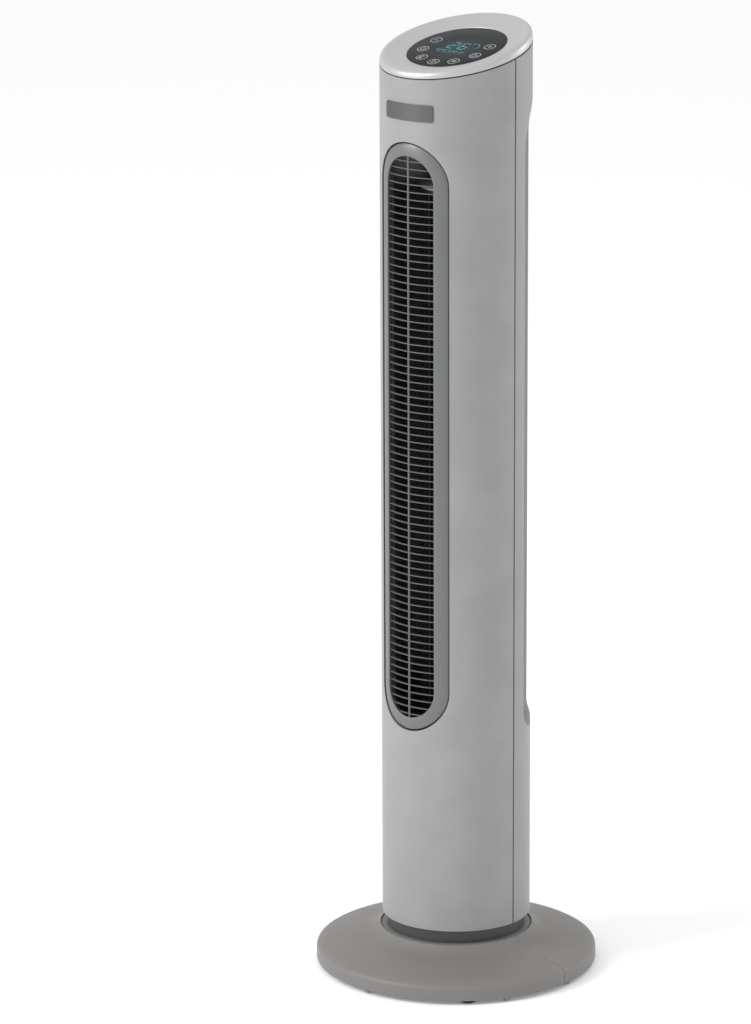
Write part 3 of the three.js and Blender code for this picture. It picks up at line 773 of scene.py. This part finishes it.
def grip_cup():
    """An oval cup with a rolled floor, inside and outside walls."""
    half_width, half_height, middle = grip
    depth = [(77, 0), (70, 0), (60, 0.3), (56.5, 1.2), (54.6, 3.4), (54.1, 7), (54.05, 12.9)]
    rings = [(y, inset, 0.0) for y, inset in depth]
    rings += [(y - 1.8, inset, 1.9) for y, inset in depth[:0:-1]] + [(73, 0, 1.9), (77, 0, 1.9)]
    points, faces, sides = [], [], 64
    for y, inset, grow in rings:
        w, h = half_width - inset * 1.6 + grow, max(half_height - inset, 0.1) + grow
        for i in range(sides):
            a = 2 * pi * i / sides
            x, z = w * cos(a), middle + h * sin(a)
            points.append((x, min(y, sqrt((scoop_radius(z) - 0.6) ** 2 - x * x)), z))
    count, last = len(rings), len(depth) - 1
    for k in range(count):
        if k == last:
            continue
        n = (k + 1) % count
        for i in range(sides):
            j = (i + 1) % sides
            faces.append((k * sides + i, k * sides + j, n * sides + j, n * sides + i))
    faces.append(tuple(last * sides + i for i in range(sides)))
    faces.append(tuple((last + 1) * sides + i for i in range(sides)))
    return make_piece("grip_cup", points, faces)


give(grip_cup(), intake_grey, "tower", "grille_plastic", "hand_grip")


# ---- Front bezel ----
# A satin frame sunk in the front shell round the outlet. Its face swells gently from a narrow
# shadow gap at the shell to the rounded edge of the opening.

def swept_outline(half_width, low, high, section, steps=40):
    """A section of (inset, radius) carried round the outlet's outline on the curve of the tower."""
    points = []
    outline = rounded_ends(half_width, low, high, steps=steps)
    for index, (x, z) in enumerate(outline):
        middle = high - half_width if index <= steps else low + half_width
        across, along = x / half_width, (z - middle) / half_width
        for inset, r in section:
            px = x - inset * across
            points.append((px, -sqrt(r * r - px * px), z - inset * along))
    return points, skin_faces(len(outline), len(section), len(outline))


bezel_section = [
    (0.6, 76.9), (0.6, 77.2), (0.85, 77.55), (1.3, 77.8), (2.6, 78.3), (4.6, 78.75), (7, 79.1),
    (9.6, 79.35), (11.8, 79.45), (12.8, 79.4), (13.35, 79.1), (13.6, 78.6), (13.6, 76.9)]
bezel_satin = moulded_plastic("bezel_satin", (0.148, 0.151, 0.151), 0.4, grain=2000, depth=0.01,
                              drift=0.03, edge_light_and_shade=0.25)
bezel_satin.node_tree.nodes["Principled BSDF"].inputs["Metallic"].default_value = 0.3
give(make_piece("outlet_bezel", *swept_outline(*outlet, bezel_section), sharp=50), bezel_satin,
     "tower", "bezel_plastic", "front_bezel")


# ---- Outlet grille ----
# Thin level ribs that follow the curve of the tower, with one upright bar behind them, moulded in
# one piece with the frame that clips in behind the bezel.

mouth_half_width, mouth_low, mouth_high = 30.4, 287.0, 885.8
rib_first, rib_pitch, rib_count = 283.75, 7.95, 77
rib_front = 77.6
grille_grey = moulded_plastic("grille_grey", (0.075, 0.076, 0.076), 0.5, grain=1800, depth=0.01)


def outlet_ribs():
    parts = [swept_outline(
        mouth_half_width + 5, mouth_low - 5, mouth_high + 5,
        [(0, 72.5), (0, 76.2), (0.4, 76.4), (3.5, 76.4), (3.8, 76.1), (3.8, 72.5)], steps=32)]
    for i in range(rib_count):
        z = rib_first + i * rib_pitch
        past_end = max(0.0, mouth_low + mouth_half_width - z, z - mouth_high + mouth_half_width)
        half_width = sqrt(max(0.0, (mouth_half_width + 2.4) ** 2 - past_end**2))
        if half_width < 3:
            continue
        reach = degrees(asin((half_width + 0.3) / rib_front))
        loop = [(74.9, z - 0.45), (76.8, z - 0.6), (77.4, z - 0.42), (rib_front, z),
                (77.4, z + 0.42), (76.8, z + 0.6), (74.9, z + 0.45)]
        parts.append(swept_round(lambda a, loop=loop: loop, -reach, reach, 20))
    bar = [(-1.1, -75.9), (-1.1, -77), (-0.7, -77.3), (0.7, -77.3), (1.1, -77), (1.1, -75.9)]
    points = [(x, y, z) for z in (mouth_low - 3, mouth_high + 3) for x, y in bar]
    parts.append((points, prism_faces(len(bar))))
    return make_piece("outlet_ribs", *joined_points(parts))


give(outlet_ribs(), grille_grey, "tower", "grille_plastic", "outlet_grille")


# ---- Badge plate ----
# A blank curved plate in satin grey, stuck on the front above the outlet.

badge_low, badge_high = box_mm("badge_plate")
badge_reach = degrees(asin(badge_high[0] / 80.5))
badge_grey = bare_metal("badge_grey", (0.125, 0.127, 0.127), 0.36, streaks=1500, metallic=0.9)


def badge_section(angle):
    beyond = max(0.0, abs(angle) - badge_reach + 1.2) / 1.2
    inset = 1.4 * (1 - sqrt(max(0.0, 1 - beyond * beyond)))
    low, high = badge_low[2] + inset, badge_high[2] - inset
    return [(79.3, low), (80.1, low), (80.4, low + 0.4), (80.4, high - 0.4), (80.1, high), (79.3, high)]


badge = make_piece("badge", *swept_round(badge_section, -badge_reach, badge_reach, 64))
give(badge, badge_grey, "tower", "badge_metal", "badge_plate")


# ---- Cap ring ----
# A silver ring sprayed with metallic lacquer closes the slanted top, with a soft outer edge and a
# face that dishes down to the control panel. It snaps on to a black carrier, which shows in the
# shadow line over the shells.

ring_crest, panel_radius = 72.0, 53.1
panel_depth, panel_rearward = 0.93, 1.5  # the panel is an ellipse, and sits a little to the rear
extra_slant = tan(radians(15.5)) - slant  # and it is tipped more than the seam
crest_tip = 0.0035  # the crest of the ring stands higher towards the rear


def drawn_to_panel(points):
    """Draws points inside the ring's crest down to the panel, and stands them on the seam."""
    moved = []
    for x, y, z in points:
        share = min(1.0, max(0.0, (ring_crest - hypot(x, y)) / (ring_crest - panel_radius)))
        z += max(0.0, z) * (1 - share) * crest_tip * y
        y = y * (1 - share * (1 - panel_depth)) + share * panel_rearward
        moved.append((x, y, seam_height + slant * y + z + share * extra_slant * y))
    return moved


cap_loop = rounded_through([
    (77.9, 0.5), (78.6, 0.8), (78.85, 1.6), (78.9, 3.2), (78.85, 4.8), (78.5, 6.4), (77.7, 8),
    (76.5, 9.1), (75.2, 9.7), (73.8, 9.8), (71.5, 9.3), (66, 7.3), (60, 5.5), (55.2, 4.15),
    (54.1, 3.8), (53.6, 3.55), (53.4, 3.1)], steps=3) + [
    (53.4, 1.3), (60, 1.3), (74, 6.6), (75.8, 6.6), (75.8, 0.5)]
carrier_loop = [(50, 1.2), (50, -0.6), (58.5, -0.6), (74, 6.1), (74, -8), (75.8, -8), (75.8, -0.3),
                (78, -0.3), (78, 0.4), (75.7, 0.4), (75.7, 6.4), (74, 6.4), (60, 1.2)]


def make_flake():
    """Metallic lacquer: tiny flakes that catch the light at slightly different tilts."""
    effect, start, end = new_effect(
        "metal_flake",
        [("Colour", "NodeSocketColor", grey), ("Roughness", "NodeSocketFloat", 0.3),
         ("Flakes per metre", "NodeSocketFloat", 2500.0)],
        surface_outputs)
    join = effect.links.new
    place = effect.nodes.new("ShaderNodeTexCoord").outputs["Object"]
    flakes = effect.nodes.new("ShaderNodeTexVoronoi")
    join(place, flakes.inputs["Vector"])
    join(start.outputs["Flakes per metre"], flakes.inputs["Scale"])
    bright = effect.nodes.new("ShaderNodeRGBToBW")
    join(flakes.outputs["Color"], bright.inputs[0])
    drift = calculate(effect, "SUBTRACT", bright.outputs[0], 0.5)
    shade = calculate(effect, "MULTIPLY_ADD", drift, 0.08, 1)
    join(shaded(effect, start.outputs["Colour"], shade), end.inputs["Colour"])
    join(calculate(effect, "MULTIPLY_ADD", drift, 0.1, start.outputs["Roughness"]),
         end.inputs["Roughness"])
    join(bright.outputs[0], end.inputs["Height"])
    return effect


metal_flake = make_flake()


def silver_lacquer(name, colour, roughness, metallic):
    """Silver paint over plastic, with its flakes."""
    material, tree, shader = new_material(name)
    shader.inputs["Metallic"].default_value = metallic
    flaked = place_effect(material, metal_flake, Colour=(*colour, 1), Roughness=roughness)
    tree.links.new(flaked.outputs["Colour"], shader.inputs["Base Color"])
    tree.links.new(flaked.outputs["Roughness"], shader.inputs["Roughness"])
    emboss(tree, flaked.outputs["Height"], 0.2, 0.004)
    return material


cap_silver = silver_lacquer("cap_silver", (0.5, 0.5, 0.5), 0.42, 0.7)


def topped(name, loop, steps=240, sharp=40):
    """A turned piece of the slanted top."""
    points, faces = turned(loop, steps)
    return make_piece(name, drawn_to_panel(points), faces, sharp=sharp)


give(topped("cap_ring", cap_loop), cap_silver, "tower", "cap_metal", "top_cap_ring")
give(topped("cap_carrier", carrier_loop), black_moulded, "tower", "duct_plastic")


# ---- Control panel ----
# A glossy charcoal disc with printed touch marks. A display shines through its middle.

panel_top = 3.35
panel_loop = [
    (0, 1.5), (52.9, 1.5), (panel_radius, 1.8), (panel_radius, panel_top - 0.3),
    (52.95, panel_top - 0.08), (52.6, panel_top), (30, panel_top), (0, panel_top)]
panel_gloss = moulded_plastic("panel_gloss", (0.02, 0.022, 0.024), 0.18, grain=300, depth=0.002,
                              drift=0.1, edge_light_and_shade=0, gloss=0.035)


def backlit_middle(material, colour, reach):
    """The display's lamp glows softly through the dark disc, and fades out round it."""
    tree = material.node_tree
    apart = tree.nodes.new("ShaderNodeVectorMath")
    apart.operation = "DISTANCE"
    apart.inputs[1].default_value = (0, 0, (seam_height + panel_top) * MM)
    tree.links.new(tree.nodes.new("ShaderNodeTexCoord").outputs["Object"], apart.inputs[0])
    fade = tree.nodes.new("ShaderNodeMapRange")
    fade.interpolation_type = "SMOOTHSTEP"
    fade.inputs["From Min"].default_value = 0.3 * reach * MM
    fade.inputs["From Max"].default_value = reach * MM
    fade.inputs["To Min"].default_value = 1
    fade.inputs["To Max"].default_value = 0
    tree.links.new(apart.outputs["Value"], fade.inputs["Value"])
    glow = tree.nodes.new("ShaderNodeVectorMath")
    glow.operation = "SCALE"
    glow.inputs[0].default_value = colour
    tree.links.new(fade.outputs["Result"], glow.inputs["Scale"])
    shader = tree.nodes["Principled BSDF"]
    tree.links.new(glow.outputs[0], shader.inputs["Emission Color"])
    shader.inputs["Emission Strength"].default_value = 1


backlit_middle(panel_gloss, (0.0, 0.028, 0.036), 26)
give(topped("touch_panel", panel_loop, steps=192), panel_gloss, "tower", "panel_gloss", "control_panel")
finish_nodes(panel_gloss, "display_module", eased=0)


def stroke(line, width, closed=False, height=panel_top + 0.01):
    """A flat printed line on the panel, through points in plan."""
    count = len(line)
    points, faces = [], []
    for i, (x, y) in enumerate(line):
        before = line[i - 1] if closed or i else line[i]
        after = line[(i + 1) % count] if closed or i < count - 1 else line[i]
        dx, dy = after[0] - before[0], after[1] - before[1]
        size = hypot(dx, dy)
        nx, ny = -dy / size * width / 2, dx / size * width / 2
        for sx, sy in ((x + nx, y + ny), (x - nx, y - ny)):
            points += drawn_to_panel([(sx, sy, height), (sx, sy, height + 0.05)])
    for i in range(count if closed else count - 1):
        a, b = 4 * i, 4 * ((i + 1) % count)
        faces += [(a, b, b + 1, a + 1), (a + 1, b + 1, b + 3, a + 3), (a + 3, b + 3, b + 2, a + 2),
                  (a + 2, b + 2, b, a)]
    if not closed:
        last = 4 * (count - 1)
        faces += [(0, 1, 3, 2), (last, last + 2, last + 3, last + 1)]
    return points, faces


def arc(x, y, radius, first, last, steps=16):
    return [(x + radius * cos(radians(first + (last - first) * i / steps)),
             y + radius * sin(radians(first + (last - first) * i / steps))) for i in range(steps + 1)]


def touch_marks():
    """Seven ringed symbols on an arc round the front of the panel."""
    first_key, key_step, arc_across, arc_ahead, ring_radius = -105, 35, 37, 40.5, 6.1
    parts = []
    for key in range(7):
        angle = radians(first_key + key_step * key)
        x, y = arc_across * sin(angle), -arc_ahead * cos(angle)
        parts.append(stroke(arc(x, y, ring_radius, 0, 360, 40)[:-1], 0.55, closed=True))
        if key == 0:
            parts.append(stroke([(x - 2.6, y), (x + 2.6, y)], 0.6))
        elif key == 1:
            parts.append(stroke(arc(x, y, 2.9, 120, 420), 0.6))
            parts.append(stroke([(x, y + 1), (x, y + 3.6)], 0.6))
        elif key == 2:
            parts.append(stroke(arc(x, y, 3.1, 60, 300), 0.7))
            parts.append(stroke(arc(x + 1.9, y, 2.9, 110, 250), 0.6))
        elif key == 3:
            for start in (0, 120, 240):
                hub_x, hub_y = x + 1.5 * cos(radians(start)), y + 1.5 * sin(radians(start))
                parts.append(stroke(arc(hub_x, hub_y, 1.6, start - 60, start + 120), 0.65))
        elif key == 4:
            for row in (-1.8, 0, 1.8):
                parts.append(stroke([(x - 2.8, y + row - 0.4), (x - 0.9, y + row + 0.4),
                                     (x + 0.9, y + row - 0.4), (x + 2.8, y + row + 0.4)], 0.55))
        elif key == 5:
            parts.append(stroke([(x, y + 3), (x, y), (x + 2, y - 1.4)], 0.6))
            parts.append(stroke(arc(x, y, 3.6, 100, 400), 0.5))
        else:
            parts.append(stroke([(x - 2.6, y), (x + 2.6, y)], 0.6))
            parts.append(stroke([(x, y - 2.6), (x, y + 2.6)], 0.6, height=panel_top + 0.02))
    return make_piece("touch_marks", *joined_points(parts))


mark_ink = moulded_plastic("mark_ink", (0.55, 0.55, 0.55), 0.4, grain=800, depth=0.001, edge_light_and_shade=0)
give(touch_marks(), mark_ink, "tower", "panel_gloss")


def seven_bars(digit, x, y, wide, high):
    """A digit of a lit display."""
    lean = 0.12
    corner = {"a": ((0, 1), (1, 1)), "b": ((1, 1), (1, 0.5)), "c": ((1, 0.5), (1, 0)),
              "d": ((0, 0), (1, 0)), "e": ((0, 0.5), (0, 0)), "f": ((0, 1), (0, 0.5)),
              "g": ((0, 0.5), (1, 0.5))}
    lit = {2: "abged", 6: "acdefg"}[digit]
    bars = []
    for name in lit:
        (x0, y0), (x1, y1) = corner[name]
        ends = [(x + wide * u + lean * high * v, y + high * v) for u, v in ((x0, y0), (x1, y1))]
        (ax, ay), (bx, by) = ends
        bars.append(stroke([(ax + (bx - ax) * 0.1, ay + (by - ay) * 0.1),
                            (ax + (bx - ax) * 0.9, ay + (by - ay) * 0.9)], 1.3))
    return bars


def display_marks():
    """Two digits, two lines of small bars under them, and an arc at the right."""
    parts = seven_bars(2, -12, -4, 8, 15) + seven_bars(6, 2, -4, 8, 15)
    for row, (first, last) in enumerate(((-20, -6), (-3, 9), (12, 18))):
        parts.append(stroke([(first, -10 - row * 0.4), (last, -10 - row * 0.4)], 0.9))
    for column in range(5):
        parts.append(stroke([(-16 + 7 * column, -14), (-12.5 + 7 * column, -14)], 0.7))
    parts.append(stroke(arc(17, 6, 7, -40, 130, 20), 0.8))
    return make_piece("display_marks", *joined_points(parts))


def lit_marks(name, colour, strength):
    """Marks lit from behind through the dark panel, a little uneven."""
    material = moulded_plastic(name, tuple(0.15 * c for c in colour), 0.35, grain=200, depth=0.001,
                               edge_light_and_shade=0)
    tree = material.node_tree
    shader = tree.nodes["Principled BSDF"]
    glow = place_effect(material, moulded_grain, Colour=(*colour, 1), Grain_per_metre=60,
                        Shade_drift=1.2)
    tree.links.new(glow.outputs["Colour"], shader.inputs["Emission Color"])
    shader.inputs["Emission Strength"].default_value = strength
    return material


display_teal = lit_marks("display_teal", (0.08, 0.34, 0.36), 0.7)
give(display_marks(), display_teal, "tower", "panel_gloss")


# ---- Studio ----
# A plain pale floor, a soft key light from the upper left, a second lamp behind the right side,
# and the camera.

def studio_floor():
    reach = 30000
    points = [(-reach, -reach, -0.05), (reach, -reach, -0.05), (reach, reach, -0.05),
              (-reach, reach, -0.05)]
    mesh = bpy.data.meshes.new("floor")
    mesh.from_pydata([(x * MM, y * MM, z * MM) for x, y, z in points], [], [(0, 1, 2, 3)])
    floor = bpy.data.objects.new("floor", mesh)
    bpy.context.scene.collection.objects.link(floor)
    material = bpy.data.materials.new("pale_floor")
    material.use_nodes = True
    shader = material.node_tree.nodes["Principled BSDF"]
    shader.inputs["Base Color"].default_value = (0.93, 0.93, 0.93, 1)
    shader.inputs["Roughness"].default_value = 0.9
    shader.inputs["Emission Color"].default_value = (1, 1, 1, 1)
    shader.inputs["Emission Strength"].default_value = 0.1
    mesh.materials.append(material)


studio_floor()
world = bpy.data.worlds.new("studio")
world.use_nodes = True
world.node_tree.nodes["Background"].inputs["Color"].default_value = (1, 1, 1, 1)
world.node_tree.nodes["Background"].inputs["Strength"].default_value = 0.92
bpy.context.scene.world = world


def soft_light(name, azimuth, elevation, distance, size, power):
    """A square lamp that faces the middle of the tower."""
    lamp = bpy.data.lights.new(name, "AREA")
    lamp.shape = "RECTANGLE"
    lamp.size, lamp.size_y = size
    lamp.energy = power
    light = bpy.data.objects.new(name, lamp)
    a, e = radians(azimuth), radians(elevation)
    reach = distance * cos(e)
    light.location = (reach * sin(a), -reach * cos(a), 0.5 + distance * sin(e))
    light.rotation_euler = (pi / 2 - e, 0, a)
    bpy.context.scene.collection.objects.link(light)


camera_azimuth, camera_tilt = 39.8, 14.4
camera_distance, camera_height = 4913.29, 1753.86  # in plan from the axis, and above the base's foot
soft_light("key_light", camera_azimuth - 67, 30, 3.2, (1.2, 1.8), 60)
soft_light("rear_light", camera_azimuth + 112, 15, 3.5, (1.0, 2.0), 20)

camera = bpy.data.objects.new("camera", bpy.data.cameras.new("camera"))
camera.data.sensor_width = 36
camera.data.lens = 169.441
camera.data.shift_x = -0.0787
camera.data.clip_end = 50
camera.location = (camera_distance * MM * sin(radians(camera_azimuth)),
                   -camera_distance * MM * cos(radians(camera_azimuth)),
                   (camera_height + base_foot) * MM)
camera.rotation_euler = (radians(90 - camera_tilt), 0, radians(camera_azimuth))
bpy.context.scene.collection.objects.link(camera)
bpy.context.scene.camera = camera
bpy.context.scene.view_settings.view_transform = "Standard"
